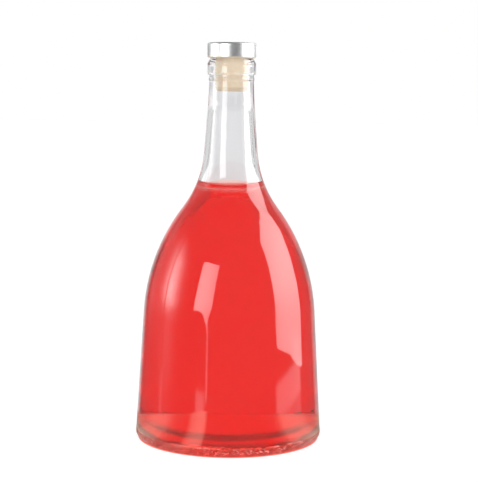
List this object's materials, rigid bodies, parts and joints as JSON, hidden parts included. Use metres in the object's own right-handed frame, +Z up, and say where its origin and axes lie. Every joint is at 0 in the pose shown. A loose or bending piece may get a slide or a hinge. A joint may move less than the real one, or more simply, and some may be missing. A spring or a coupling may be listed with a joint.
{
  "type": "wine bottle",
  "caption": "Clear glass bell-shaped bottle filled with red wine up to the foot of its neck, closed by a cream bar-top stopper under a metal cap.",
  "frame": {"origin": "on the bottle's axis, in the plane of the flat ring that it stands on", "axes": "+Z up along the bottle's axis, from the base to the stopper; X and Y are level and alike, because the bottle is round"},
  "size_m": [0.1064, 0.1064, 0.2254],
  "materials": {
    "clear_glass": "clear polished glass",
    "wine": "clear bright red liquid",
    "stopper_polymer": "smooth cream synthetic cork",
    "cap_metal": "bright satin drawn aluminium"
  },
  "bodies": {
    "root": {"glass_bottle": "clear_glass", "red_wine": "wine", "stopper_plug": "stopper_polymer", "stopper_shell": "cap_metal"}
  },
  "joints": []
}
